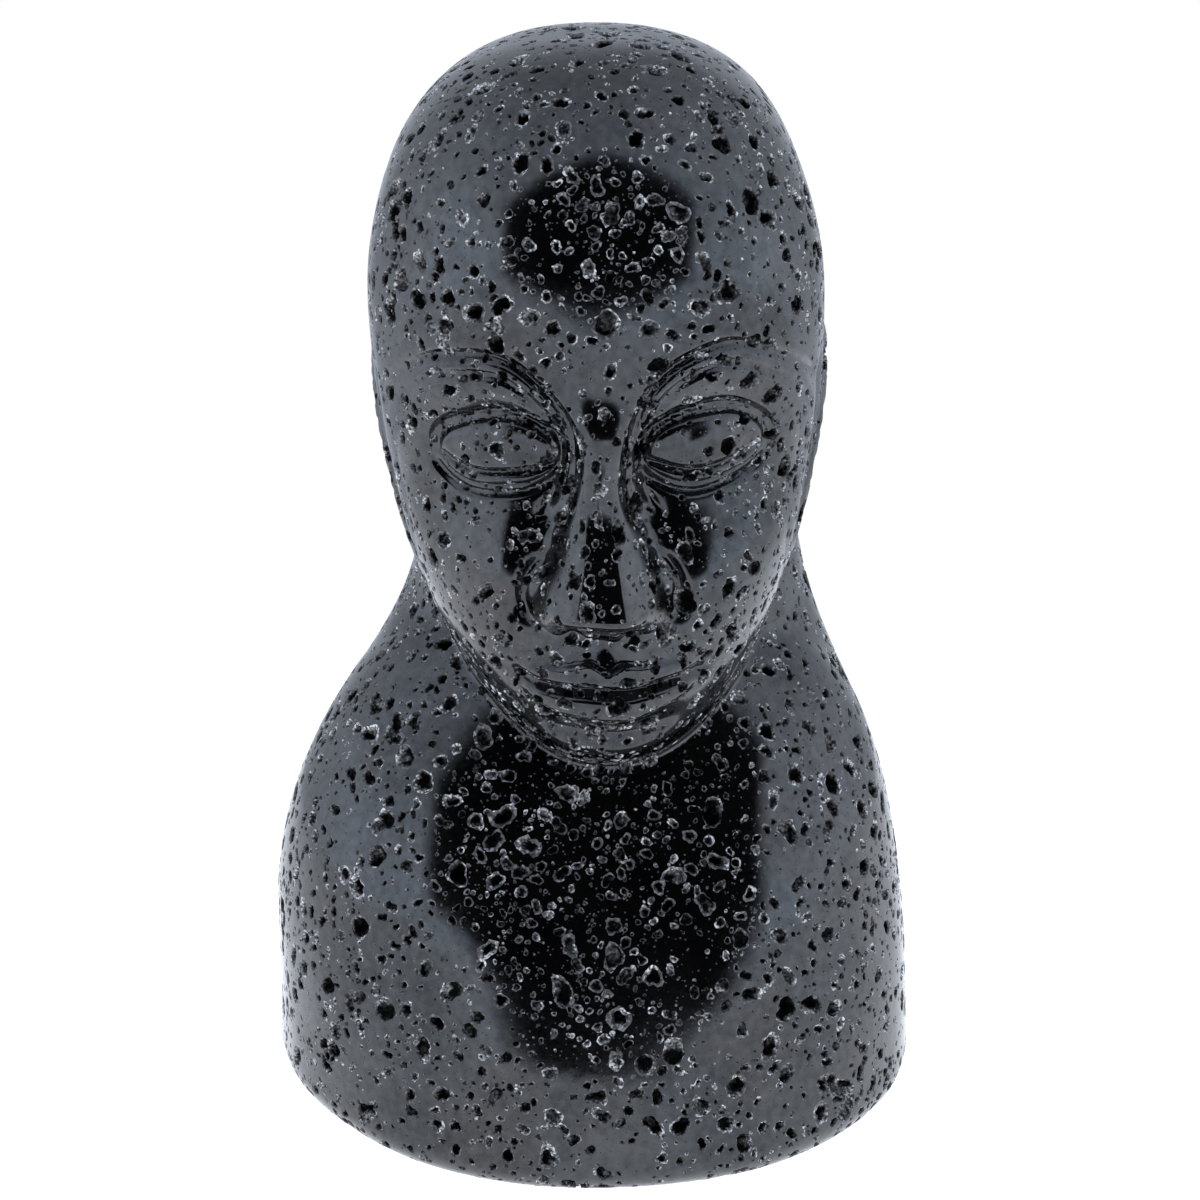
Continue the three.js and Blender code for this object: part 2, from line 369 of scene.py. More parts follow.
def cell_vertices(lines, values, active):
    """The middle of the places where the surface crosses the edges of each active cell."""
    cells = np.argwhere(active)
    total = np.zeros((len(cells), 3))
    count = np.zeros(len(cells))
    for axis in range(3):
        for first in (0, 1):
            for second in (0, 1):
                near = np.insert([first, second], axis, 0)
                far = np.insert([first, second], axis, 1)
                near_at = tuple((cells + near).T)
                far_at = tuple((cells + far).T)
                near_value = values[near_at]
                far_value = values[far_at]
                crosses = (near_value < 0) != (far_value < 0)
                share = near_value / np.where(crosses, near_value - far_value, 1)
                near_point = np.stack([lines[a][near_at[a]] for a in range(3)], axis=1)
                far_point = np.stack([lines[a][far_at[a]] for a in range(3)], axis=1)
                crossing = near_point + (far_point - near_point) * share[:, None]
                total += np.where(crosses[:, None], crossing, 0)
                count += crosses
    return total / count[:, None]


def net_faces(inside, number):
    """A quad round each grid edge that the surface crosses, facing out of the solid."""
    faces = []
    for axis in range(3):
        right, up = (axis + 1) % 3, (axis + 2) % 3
        low = [slice(None)] * 3
        high = [slice(None)] * 3
        low[axis], high[axis] = slice(0, -1), slice(1, None)
        crosses = inside[tuple(low)] != inside[tuple(high)]
        edges = np.argwhere(crosses)
        solid_below = inside[tuple(low)][crosses]
        corners = []
        for right_step, up_step in ((-1, -1), (0, -1), (0, 0), (-1, 0)):
            cell = edges.copy()
            cell[:, right] += right_step
            cell[:, up] += up_step
            corners.append(number[tuple(cell.T)])
        quads = np.stack(corners, axis=1)
        faces.append(np.where(solid_below[:, None], quads, quads[:, ::-1]))
    return np.concatenate(faces)


def sculpted_skin():
    lines = (
        grid_lines(-GRID_SIDE, GRID_SIDE, -FINE_HALF_WIDTH, FINE_HALF_WIDTH),
        grid_lines(-GRID_SIDE, GRID_BACK, -GRID_SIDE, FINE_BACK),
        grid_lines(GRID_LOW, GRID_HIGH, FINE_LOW, FINE_HIGH),
    )
    x, y, z = (line.astype(np.float32) for line in lines)
    values = stone_field(x[:, None, None], y[None, :, None], z[None, None, :])
    inside = values < 0
    filled = np.zeros([size - 1 for size in inside.shape], dtype=np.int8)
    for n in range(8):
        filled += inside[corner_slices(((n >> 2) & 1, (n >> 1) & 1, n & 1), inside.shape)]
    active = (filled > 0) & (filled < 8)
    number = np.full(active.shape, -1, dtype=np.int64)
    number[active] = np.arange(active.sum())
    points = cell_vertices(lines, values, active)
    for _ in range(3):
        gradient = gradient_at(points)
        steepness = np.maximum(np.sum(gradient**2, axis=1), 0.2)
        move = gradient * (field_at(points) / steepness)[:, None]
        length = np.linalg.norm(move, axis=1, keepdims=True)
        points = points - move * np.minimum(1, 0.2 / np.maximum(length, 1e-9))
    return points, net_faces(inside, number)


# ---- Mesh objects ----
def new_object(name, points, faces, materials=(), material_index=0):
    mesh = bpy.data.meshes.new(name)
    mesh.vertices.add(len(points))
    mesh.vertices.foreach_set("co", np.ascontiguousarray(points, dtype=np.float32).ravel())
    mesh.loops.add(faces.size)
    mesh.loops.foreach_set("vertex_index", faces.ravel().astype(np.int32))
    mesh.polygons.add(len(faces))
    starts = np.arange(0, faces.size, faces.shape[1], dtype=np.int32)
    mesh.polygons.foreach_set("loop_start", starts)
    for material in materials:
        mesh.materials.append(material)
    mesh.polygons.foreach_set("material_index", np.full(len(faces), material_index, dtype=np.int32))
    mesh.update(calc_edges=True)
    piece = bpy.data.objects.new(name, mesh)
    bpy.context.scene.collection.objects.link(piece)
    return piece


# ---- Pores: bubbles of gas in the lava that the polished surface cuts through ----
def pore_template(segments, levels):
    """The points and triangles of a closed turned body with the rings in levels."""
    turns = np.arange(segments) / segments * 2 * math.pi
    floor, lid = (0, 0, levels[0][0] - 0.12), (0, 0, levels[-1][0] + 0.2)
    points = [floor, lid]
    points += [(r * math.cos(t), r * math.sin(t), height) for height, r in levels for t in turns]
    faces = []
    for i in range(segments):
        j = (i + 1) % segments
        faces.append((0, 2 + j, 2 + i))
        for ring in range(len(levels) - 1):
            a, b = 2 + ring * segments, 2 + (ring + 1) * segments
            faces += [(a + i, a + j, b + j), (a + i, b + j, b + i)]
        last = 2 + (len(levels) - 1) * segments
        faces.append((1, last + i, last + j))
    return np.array(points), np.array(faces)


def surface_samples(points, quads, wanted, rng):
    """Places spread over the surface, thicker in some patches than in others."""
    triangles = np.concatenate([quads[:, [0, 1, 2]], quads[:, [0, 2, 3]]])
    a, b, c = (points[triangles[:, n]] for n in range(3))
    area = np.linalg.norm(np.cross(b - a, c - a), axis=1) / 2
    middle = (a + b + c) / 3
    patches = 1 + 0.35 * np.sin(middle @ [0.31, 0.13, 0.24]) + 0.3 * np.sin(middle @ [-0.52, 0.4, 0.47] + 2)
    hidden = (middle[:, 2] < STONE_BOTTOM + 0.1) & (np.hypot(middle[:, 0], middle[:, 1]) < 20)
    weight = area * patches * ~hidden
    count = int(wanted * area[~hidden].sum())
    chosen = rng.choice(len(triangles), size=count, p=weight / weight.sum())
    u, v = rng.random(count), rng.random(count)
    flip = u + v > 1
    u, v = np.where(flip, 1 - u, u), np.where(flip, 1 - v, v)
    return a[chosen] + (b - a)[chosen] * u[:, None] + (c - a)[chosen] * v[:, None]


def spaced_pores(centres, radii):
    """Keeps a pore only where no larger one is in its place."""
    order = np.argsort(-radii, kind="stable")
    tree = KDTree(len(centres))
    for i, centre in enumerate(centres):
        tree.insert(centre, i)
    tree.balance()
    kept = np.zeros(len(centres), dtype=bool)
    largest = radii.max()
    for i in order:
        near = tree.find_range(centres[i], radii[i] + largest)
        crowded = any(
            kept[j] and distance < 0.92 * (radii[i] + radii[j]) for _, j, distance in near if j != i
        )
        kept[i] = not crowded
    return kept


def pore_clusters(points, quads, rng):
    """Pits where several bubbles have run together."""
    middles = surface_samples(points, quads, PORES_PER_SQUARE_MM, rng)
    middles = middles[rng.choice(len(middles), size=CLUSTER_COUNT, replace=False)]
    centres, radii = [], []
    for middle in middles:
        chance = rng.random()
        size = 0.7 + chance**2 + 0.9 * chance**8
        run = rng.normal(size=3) * 0.42 * size
        for _ in range(rng.integers(3, 8)):
            centres.append(middle + run * rng.normal() + rng.normal(size=3) * 0.3 * size)
            radii.append(min(rng.uniform(0.26, 0.7) * size, LARGEST_PORE / 2))
    centres = np.array(centres)
    gradient = gradient_at(centres)
    steepness = np.sum(gradient**2, axis=1, keepdims=True)
    return centres - gradient * field_at(centres)[:, None] / steepness, np.array(radii)


def tangent_frames(normals, rng):
    helper = rng.normal(size=normals.shape)
    first = np.cross(normals, helper)
    first /= np.linalg.norm(first, axis=1, keepdims=True)
    second = np.cross(normals, first)
    return np.stack([first, second, normals], axis=1)


def pore_shapes(template, radii, rng, roughness):
    """One bent pore for each radius, upright, its rim at height 0."""
    count = len(radii)
    turn = np.arctan2(template[:, 1], template[:, 0])[None, :]
    height = template[None, :, 2]
    below = np.maximum(-height, 0)

    def uniform(low, high):
        return rng.uniform(low, high, size=(count, 1))

    outline = 1 + uniform(0, 0.36) * np.cos(2 * turn + uniform(0, 6.3))
    outline = outline + uniform(0, 0.16) * np.cos(3 * turn + uniform(0, 6.3))
    outline = outline + uniform(0, 0.1) * np.cos(5 * turn + 2 * height + uniform(0, 6.3))
    throat = 1 - (1 - uniform(0.65, 1.12)) * smooth_step(0, 0.17, below)
    outline = outline * throat + roughness * rng.normal(size=(count, template.shape[0]))
    tilt = uniform(0, 0.45)
    heading = uniform(0, 6.3)
    x = template[None, :, 0] * outline + below * tilt * np.cos(heading)
    y = template[None, :, 1] * outline + below * tilt * np.sin(heading)
    lower = height < -0.2
    z = height * np.where(lower, uniform(0.6, 1.6), 1)
    z = z + 0.6 * roughness * rng.normal(size=x.shape) * lower
    return np.stack([x, y, z], axis=2) * radii[:, None, None]


def overlap_groups(centres, radii):
    """Sorts bubbles into groups whose members stay clear of each other."""
    tree = KDTree(len(centres))
    for i, centre in enumerate(centres):
        tree.insert(centre, i)
    tree.balance()
    group = np.full(len(centres), -1)
    largest = radii.max()
    for i, centre in enumerate(centres):
        near = tree.find_range(centre, (radii[i] + largest) * 1.3)
        taken = {group[j] for _, j, distance in near if distance < 1.3 * (radii[i] + radii[j])}
        number = 0
        while number in taken:
            number += 1
        group[i] = number
    return group


def pore_cutters(points, quads):
    rng = np.random.default_rng(PORE_SEED)
    centres = surface_samples(points, quads, PORES_PER_SQUARE_MM * 1.12, rng)
    sizes = np.exp(math.log(MEDIAN_PORE) + PORE_SPREAD * rng.normal(size=len(centres)))
    radii = np.clip(sizes, SMALLEST_PORE, LARGEST_PORE) / 2
    kept = spaced_pores(centres, radii)
    cluster_centres, cluster_radii = pore_clusters(points, quads, rng)
    centres = np.concatenate([centres[kept], cluster_centres])
    radii = np.concatenate([radii[kept], cluster_radii])
    frames = tangent_frames(normals_at(centres), rng)
    groups = overlap_groups(centres, radii)
    few = groups < CROWDED_GROUPS
    centres, radii, frames, groups = centres[few], radii[few], frames[few], groups[few]

    batches = []
    for smallest, largest, segments, levels, roughness in PORE_CLASSES:
        template, triangles = pore_template(segments, levels)
        of_class = np.flatnonzero((radii >= smallest) & (radii < largest))
        shapes = pore_shapes(template, radii[of_class], rng, roughness)
        placed = np.einsum("nvk,nkc->nvc", shapes, frames[of_class]) + centres[of_class][:, None, :]
        batches.append((of_class, shapes, placed, triangles))
    return groups, batches


def group_mesh(number, groups, batches, materials):
    points, faces, cells, shapes = [], [], [], []
    offset = 0
    for of_class, shape, placed, triangles in batches:
        chosen = np.flatnonzero(groups[of_class] == number)
        size = placed.shape[1]
        points.append(placed[chosen].reshape(-1, 3))
        starts = offset + np.arange(len(chosen)) * size
        faces.append((triangles[None] + starts[:, None, None]).reshape(-1, 3))
        cells.append(np.repeat(of_class[chosen], size))
        flat = shape[chosen][:, :, :2] / np.abs(shape[chosen]).max(axis=(1, 2), keepdims=True)
        shapes.append(flat.reshape(-1, 2))
        offset += len(chosen) * size
    cutter = new_object(f"pore_cutter_{number}", np.concatenate(points), np.concatenate(faces), materials, 1)
    add_bake_map(cutter.data, pore_map(np.concatenate(cells), np.concatenate(shapes), len(groups)))
    return cutter


# ---- One unwrapping for baking: the skin in the lower part, each pore in a cell of the upper ----
PORE_MAP_START = 0.62


def pore_map(pore, flat, count):
    columns = math.ceil(math.sqrt(count / (1 - PORE_MAP_START)))
    rows = math.ceil(count / columns)
    u = (pore % columns + 0.5 + 0.4 * flat[:, 0]) / columns
    v = PORE_MAP_START + (1 - PORE_MAP_START) * (pore // columns + 0.5 + 0.4 * flat[:, 1]) / rows
    return np.stack([u, v], axis=1)


def skin_map(points, faces):
    """Round the upright axis, the seam at the back, in bands for the head and the shoulders."""
    corners = points[faces]
    turn = np.arctan2(corners[:, :, 0], -corners[:, :, 1]) / (2 * math.pi) + 0.5
    over_seam = (turn.max(axis=1) - turn.min(axis=1)) > 0.5
    turn = np.where(over_seam[:, None] & (turn < 0.5), turn + 1, turn)
    middle = corners.mean(axis=1)
    head_side = head_field(*middle.T) < shoulder_field(*middle.T)
    from_axis = np.hypot(corners[:, :, 0], corners[:, :, 1])
    height = np.arctan2(from_axis, corners[:, :, 2] - WIDEST_HEIGHT) / math.pi
    body = corners[:, :, 2] / SHOULDER_TOP
    v = np.where(head_side[:, None], 0.26 + 0.33 * (1 - height), 0.01 + 0.22 * body)
    return np.stack([0.01 + 0.94 * turn, v], axis=2).reshape(-1, 2)


def add_bake_map(mesh, coordinates):
    """coordinates holds one row for each vertex, or one for each loop."""
    layer = mesh.uv_layers.new(name="OFBake")
    if len(coordinates) == len(mesh.vertices):
        corner = np.empty(len(mesh.loops), dtype=np.int32)
        mesh.loops.foreach_get("vertex_index", corner)
        coordinates = coordinates[corner]
    layer.data.foreach_set("uv", coordinates.astype(np.float32).ravel())


def cut_away(piece, cutter):
    modifier = piece.modifiers.new("pores", "BOOLEAN")
    modifier.operation = "DIFFERENCE"
    modifier.solver = "MANIFOLD"
    modifier.object = cutter
    graph = bpy.context.evaluated_depsgraph_get()
    cut = bpy.data.meshes.new_from_object(piece.evaluated_get(graph))
    piece.modifiers.clear()
    old = piece.data
    piece.data = cut
    bpy.data.meshes.remove(old)
    cutter_mesh = cutter.data
    bpy.data.objects.remove(cutter)
    bpy.data.meshes.remove(cutter_mesh)


def joined_parts(count, edges):
    """For each vertex the same number as for every vertex that it is joined to."""
    label = np.arange(count)
    while True:
        ends = label[edges]
        lowest = ends.min(axis=1)
        nearer = label.copy()
        np.minimum.at(nearer, ends[:, 0], lowest)
        np.minimum.at(nearer, ends[:, 1], lowest)
        nearer = nearer[nearer]
        if np.array_equal(nearer, label):
            return label
        label = nearer


def drop_crumbs(mesh):
    """Removes the specks of stone that pores have cut loose."""
    ends = np.empty(len(mesh.edges) * 2, dtype=np.int32)
    mesh.edges.foreach_get("vertices", ends)
    label = joined_parts(len(mesh.vertices), ends.reshape(-1, 2))
    loose = np.flatnonzero(label != np.bincount(label).argmax())
    whole = bmesh.new()
    whole.from_mesh(mesh)
    whole.verts.ensure_lookup_table()
    bmesh.ops.delete(whole, geom=[whole.verts[i] for i in loose], context="VERTS")
    whole.to_mesh(mesh)
    whole.free()


# ---- The finished stone ----
def smooth_shading(mesh, normals):
    """Polished corners take the sculpted form's own direction, and pore walls keep theirs."""
    loops = len(mesh.loops)
    corner = np.empty(loops, dtype=np.int32)
    mesh.loops.foreach_get("vertex_index", corner)
    starts = np.empty(len(mesh.polygons), dtype=np.int32)
    mesh.polygons.foreach_get("loop_start", starts)
    material = np.empty(len(mesh.polygons), dtype=np.int32)
    mesh.polygons.foreach_get("material_index", material)
    loop_face = np.searchsorted(starts, np.arange(loops), side="right") - 1
    on_skin = material[loop_face] == 0
    flat = np.empty(len(mesh.polygons) * 3, dtype=np.float32)
    mesh.polygons.foreach_get("normal", flat)
    directions = flat.reshape(-1, 3)[loop_face]
    wall = ~on_skin
    softened = np.zeros((len(mesh.vertices), 3))
    np.add.at(softened, corner[wall], directions[wall])
    softened /= np.maximum(np.linalg.norm(softened, axis=1, keepdims=True), 1e-9)
    directions = np.where(on_skin[:, None], normals[corner], softened[corner])
    edge = np.empty(loops, dtype=np.int32)
    mesh.loops.foreach_get("edge_index", edge)
    polished_sides = np.bincount(edge[on_skin], minlength=len(mesh.edges))
    sharp = mesh.attributes.new("sharp_edge", "BOOLEAN", "EDGE")
    sharp.data.foreach_set("value", polished_sides == 1)
    layer = mesh.attributes.new("custom_normal", "FLOAT_VECTOR", "CORNER")
    layer.data.foreach_set("vector", directions.astype(np.float32).ravel())


def mesh_points(mesh):
    points = np.empty(len(mesh.vertices) * 3, dtype=np.float32)
    mesh.vertices.foreach_get("co", points)
    return points.reshape(-1, 3).astype(float)


def build_stone(polished, pore_wall):
    points, quads = sculpted_skin()
    low, high = points.min(axis=0), points.max(axis=0)
    stone = new_object("lava_stone_bust", points, quads, (polished, pore_wall))
    add_bake_map(stone.data, skin_map(points, quads))
    groups, batches = pore_cutters(points, quads)
    for number in range(groups.max() + 1):
        cut_away(stone, group_mesh(number, groups, batches, (polished, pore_wall)))

    mesh = stone.data
    drop_crumbs(mesh)
    sculpted = mesh_points(mesh)
    # How deep each point lies below the polished surface. The pore walls' material reads it to paint shade
    # and to fade painted glints in deep parts.
    depth = mesh.attributes.new("pore_depth", "FLOAT", "POINT")
    depth.data.foreach_set("value", np.clip(-field_at(sculpted), 0, 3).astype(np.float32))
    smooth_shading(mesh, normals_at(sculpted))

    box_low, box_high = (np.array(corner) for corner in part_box(STONE_NODE))
    fitted = box_low + (sculpted - low) / (high - low) * (box_high - box_low)
    mesh.vertices.foreach_set("co", fitted.astype(np.float32).ravel())
    mesh.update()
    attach(stone, "root")
    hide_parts(STONE_NODE)
    return stone


# ---- The felt pad ----
def felt_outline(turns, phases):
    """The foot's outline less an inset, cut with scissors and so a little wavy."""
    outline = outline_radius(turns) - BOTTOM_EDGE_RADIUS - PAD_INSET
    return outline * (1 - 0.004 * (1 + np.sin(23 * turns + phases[0])) - 0.003 * (1 + np.sin(41 * turns)))


def felt_points(turns, rings, thickness):
    """Rings over the top from the middle out, then under the bottom back to the middle."""
    rng = np.random.default_rng(11)
    phases = rng.uniform(0, 2 * math.pi, 6)
    outline = felt_outline(turns, phases)
    shares = np.sin(np.linspace(0.06, 1, rings) * math.pi / 2)
    points = []
    for side in (1, -1):
        for share in shares if side > 0 else shares[::-1]:
            x = np.sin(turns) * outline * share
            y = -np.cos(turns) * outline * share
            ripple = np.sin(1.7 * x + phases[1]) * np.sin(1.3 * y + phases[2]) * 0.02 * thickness
            edge = 0.16 * thickness * smooth_step(0.985, 1, share)
            half = side * (thickness / 2 - edge) - side * np.abs(ripple)
            points.append(np.stack([x, y, half], axis=1))
    return np.concatenate([*points, [[0, 0, thickness / 2], [0, 0, -thickness / 2]]])


def felt_faces(around, rings):
    top_middle = 2 * rings * around
    bottom_middle = top_middle + 1
    last = (2 * rings - 1) * around
    faces = []
    for ring in range(2 * rings - 1):
        for i in range(around):
            j = (i + 1) % around
            a, b = ring * around, (ring + 1) * around
            faces.append((a + i, b + i, b + j, a + j))
    for i in range(around):
        j = (i + 1) % around
        faces.append((top_middle, i, j))
        faces.append((bottom_middle, last + j, last + i))
    return faces


def build_felt(material):
    """A disc cut from a sheet of felt, a little uneven, with a soft cut edge."""
    low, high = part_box(PAD_NODE)
    middle = (low + high) / 2
    around, rings = 180, 26
    turns = np.arange(around) / around * 2 * math.pi
    points = felt_points(turns, rings, high.z - low.z)
    flat_low, flat_high = points[:, :2].min(axis=0), points[:, :2].max(axis=0)
    span = flat_high - flat_low
    centre = (flat_high + flat_low) / 2
    points[:, 0] = middle.x + (points[:, 0] - centre[0]) / span[0] * (high.x - low.x)
    points[:, 1] = middle.y + (points[:, 1] - centre[1]) / span[1] * (high.y - low.y)
    points[:, 2] += middle.z
    mesh = bpy.data.meshes.new("felt_pad")
    mesh.from_pydata(points.tolist(), [], felt_faces(around, rings))
    mesh.materials.append(material)
    mesh.polygons.foreach_set("use_smooth", [True] * len(mesh.polygons))
    pad = bpy.data.objects.new("felt_pad", mesh)
    bpy.context.scene.collection.objects.link(pad)
    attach(pad, "root")
    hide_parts(PAD_NODE)
    return pad


# ---- Materials ----
def new_material(name):
    material = bpy.data.materials.new(name)
    material.use_nodes = True
    nodes = material.node_tree.nodes
    links = material.node_tree.links
    shader = nodes["Principled BSDF"]
    place = nodes.new("ShaderNodeTexCoord").outputs["Object"]
    return material, nodes, links, shader, place


def noise(nodes, links, place, size_mm, detail=3.0, distortion=0.0):
    """A noise whose features are about size_mm across."""
    node = nodes.new("ShaderNodeTexNoise")
    node.inputs["Scale"].default_value = 1 / (size_mm * MM)
    node.inputs["Detail"].default_value = detail
    node.inputs["Distortion"].default_value = distortion
    links.new(place, node.inputs["Vector"])
    return node.outputs["Fac"]


def mapped(nodes, links, value, from_low, from_high, to_low, to_high):
    node = nodes.new("ShaderNodeMapRange")
    node.inputs["From Min"].default_value = from_low
    node.inputs["From Max"].default_value = from_high
    node.inputs["To Min"].default_value = to_low
    node.inputs["To Max"].default_value = to_high
    links.new(value, node.inputs["Value"])
    return node.outputs["Result"]


def arithmetic(nodes, links, operation, first, second):
    node = nodes.new("ShaderNodeMath")
    node.operation = operation
    for socket, value in zip(node.inputs, (first, second)):
        if isinstance(value, (int, float)):
            socket.default_value = value
        else:
            links.new(value, socket)
    return node.outputs["Value"]


def ramp(nodes, links, value, stops):
    node = nodes.new("ShaderNodeValToRGB")
    elements = node.color_ramp.elements
    while len(elements) < len(stops):
        elements.new(0.5)
    for element, (position, colour) in zip(elements, stops):
        element.position = position
        element.color = (*colour, 1)
    links.new(value, node.inputs["Fac"])
    return node.outputs["Color"]


def mixed(nodes, links, share, first, second):
    node = nodes.new("ShaderNodeMix")
    node.data_type = "RGBA"
    links.new(share, node.inputs["Factor"])
    for socket, value in ((node.inputs["A"], first), (node.inputs["B"], second)):
        if isinstance(value, tuple):
            socket.default_value = (*value, 1)
        else:
            links.new(value, socket)
    return node.outputs["Result"]


def bump(nodes, links, height, depth_mm, below=None):
    node = nodes.new("ShaderNodeBump")
    node.inputs["Strength"].default_value = 1
    node.inputs["Distance"].default_value = depth_mm * MM
    links.new(height, node.inputs["Height"])
    if below is not None:
        links.new(below, node.inputs["Normal"])
    return node.outputs["Normal"]


def crystals(nodes, links, place, size_mm, share):
    """1 inside a few of the grains of a cell pattern, 0 elsewhere."""
    node = nodes.new("ShaderNodeTexVoronoi")
    node.inputs["Scale"].default_value = 1 / (size_mm * MM)
    links.new(place, node.inputs["Vector"])
    picked = nodes.new("ShaderNodeSeparateColor")
    links.new(node.outputs["Color"], picked.inputs["Color"])
    return mapped(nodes, links, picked.outputs["Red"], 1 - share, 1 - share * 0.7, 0, 1)


def tiny_pits(nodes, links, place, spacing_mm, width_mm):
    """1 in small round spots about spacing_mm apart and width_mm across."""
    node = nodes.new("ShaderNodeTexVoronoi")
    node.inputs["Scale"].default_value = 1 / (spacing_mm * MM)
    links.new(place, node.inputs["Vector"])
    radius = width_mm / 2 / spacing_mm
    return mapped(nodes, links, node.outputs["Distance"], radius * 0.7, radius * 1.3, 1, 0)


def polished_stone():
    """Basalt ground to a gloss, with pits finer than the cut pores and a faint haze."""
    material, nodes, links, shader, place = new_material("polished_basalt")
    cloud = noise(nodes, links, place, 9, 4)
    grain = noise(nodes, links, place, 0.4, 4)
    close_pits = tiny_pits(nodes, links, place, 0.55, 0.14)
    sparse_pits = tiny_pits(nodes, links, place, 1.1, 0.1)
    pits = arithmetic(nodes, links, "MAXIMUM", close_pits, sparse_pits)
    body = ramp(nodes, links, cloud, ((0.3, (0.0004, 0.0004, 0.0006)), (0.7, (0.0015, 0.0014, 0.0013))))
    links.new(mixed(nodes, links, pits, body, (0.01, 0.01, 0.0105)), shader.inputs["Base Color"])
    haze = mapped(nodes, links, noise(nodes, links, place, 14, 3, 0.6), 0.3, 0.75, 0.07, 0.13)
    fine = mapped(nodes, links, grain, 0.35, 0.8, 0.0, 0.07)
    gloss = arithmetic(nodes, links, "ADD", haze, fine)
    pitted = mapped(nodes, links, pits, 0, 1, 0, 0.6)
    links.new(arithmetic(nodes, links, "ADD", gloss, pitted), shader.inputs["Roughness"])
    shader.inputs["IOR"].default_value = 1.55
    broad = mapped(nodes, links, cloud, 0.32, 0.68, 0.39, 0.55)
    speckled = mapped(nodes, links, noise(nodes, links, place, 0.9, 6), 0.3, 0.7, -0.11, 0.11)
    links.new(arithmetic(nodes, links, "ADD", broad, speckled), shader.inputs["Specular IOR Level"])
    tone = noise(nodes, links, place, 13, 3)
    tint = ramp(nodes, links, tone, ((0.38, (0.97, 0.965, 0.965)), (0.6, (0.89, 0.945, 1.0))))
    links.new(tint, shader.inputs["Specular Tint"])
    ripple = bump(nodes, links, noise(nodes, links, place, 3.5, 2), 0.022)
    grained = bump(nodes, links, grain, 0.003, ripple)
    sunk = arithmetic(nodes, links, "SUBTRACT", 1.0, pits)
    links.new(bump(nodes, links, sunk, 0.03, grained), shader.inputs["Normal"])
    return material


def pore_wall_stone():
    """The rough inside of a pore: grey near its rim, where pale crystal specks carry painted glints, and
    turned black towards its floor by painted shade.
    """
    material, nodes, links, shader, place = new_material("pore_wall_basalt")
    depth = nodes.new("ShaderNodeAttribute")
    depth.attribute_name = "pore_depth"
    grain = noise(nodes, links, place, 0.32, 4)
    patch = noise(nodes, links, place, 1.8, 2)
    plain = ramp(nodes, links, grain, ((0.36, (0.008, 0.008, 0.009)), (0.66, (0.1, 0.101, 0.104))))
    frost = ((0.4, (0.015, 0.015, 0.016)), (0.54, (0.2, 0.202, 0.206)), (0.7, (0.58, 0.585, 0.59)))
    pale = ramp(nodes, links, grain, frost)
    frosted = mapped(nodes, links, patch, 0.49, 0.6, 0, 1)
    rock = mixed(nodes, links, frosted, plain, pale)
    # Painted shade: deeper into a pore, the wall's colour is mixed towards near black (0.003), less so in
    # the pale patches.
    deep = mapped(nodes, links, depth.outputs["Fac"], 0.06, 0.32, 0, 1)
    painted_shade_kept = mapped(nodes, links, patch, 0.49, 0.6, 1, 0.3)
    painted_pore_shade = arithmetic(nodes, links, "MULTIPLY", deep, painted_shade_kept)
    sunk = mixed(nodes, links, painted_pore_shade, rock, (0.003, 0.003, 0.0035))
    # Pale crystal specks: partly the stone's own pale grains, partly painted glints. They fade deeper in the
    # pore as painted shade.
    sparkle = crystals(nodes, links, place, 0.2, 0.25)
    shallow = mapped(nodes, links, depth.outputs["Fac"], 0.1, 0.8, 1, 0.06)
    glint = arithmetic(nodes, links, "MULTIPLY", shallow, mapped(nodes, links, frosted, 0, 1, 0.14, 1))
    pale_crystals_and_painted_glint = arithmetic(nodes, links, "MULTIPLY", sparkle, glint)
    links.new(mixed(nodes, links, pale_crystals_and_painted_glint, sunk, (0.62, 0.63, 0.64)), shader.inputs["Base Color"])
    links.new(mapped(nodes, links, grain, 0.3, 0.7, 0.28, 0.7), shader.inputs["Roughness"])
    shader.inputs["IOR"].default_value = 1.5
    # The specular level falls with the same painted shade, so deep walls reflect almost nothing.
    shaded = mapped(nodes, links, painted_pore_shade, 0, 1, 0.38, 0.02)
    links.new(shaded, shader.inputs["Specular IOR Level"])
    lumps = bump(nodes, links, noise(nodes, links, place, 0.5, 2), 0.3)
    links.new(bump(nodes, links, noise(nodes, links, place, 0.14, 3), 0.06, lumps), shader.inputs["Normal"])
    return material


def black_felt():
    material, nodes, links, shader, place = new_material("black_wool_felt")
    fibres = noise(nodes, links, place, 0.35, 6, 2.5)
    cloud = noise(nodes, links, place, 4, 3)
    colour = ramp(nodes, links, fibres, ((0.3, (0.006, 0.006, 0.007)), (0.75, (0.04, 0.04, 0.043))))
    links.new(mixed(nodes, links, cloud, colour, (0.012, 0.012, 0.013)), shader.inputs["Base Color"])
    links.new(mapped(nodes, links, fibres, 0.2, 0.8, 0.85, 1.0), shader.inputs["Roughness"])
    shader.inputs["Sheen Weight"].default_value = 0.35
    shader.inputs["Sheen Roughness"].default_value = 0.5
    links.new(bump(nodes, links, fibres, 0.12), shader.inputs["Normal"])
    return material


def pale_floor():
    """A white light table, brightest in front of the figure."""
    material, nodes, links, shader, place = new_material("pale_floor")
    cloud = noise(nodes, links, place, 40, 2)
    tone = ramp(nodes, links, cloud, ((0.3, (0.75, 0.73, 0.71)), (0.7, (0.77, 0.75, 0.73))))
    links.new(tone, shader.inputs["Base Color"])
    shader.inputs["Roughness"].default_value = 0.9
    apart = nodes.new("ShaderNodeSeparateXYZ")
    links.new(place, apart.inputs["Vector"])
    glow = mapped(nodes, links, apart.outputs["Y"], FLOOR_GLOW_FRONT, FLOOR_GLOW_BACK, 1.35, 0.5)
    links.new(glow, shader.inputs["Emission Strength"])
    shader.inputs["Emission Color"].default_value = (0.95, 0.98, 1.04, 1)
    return material


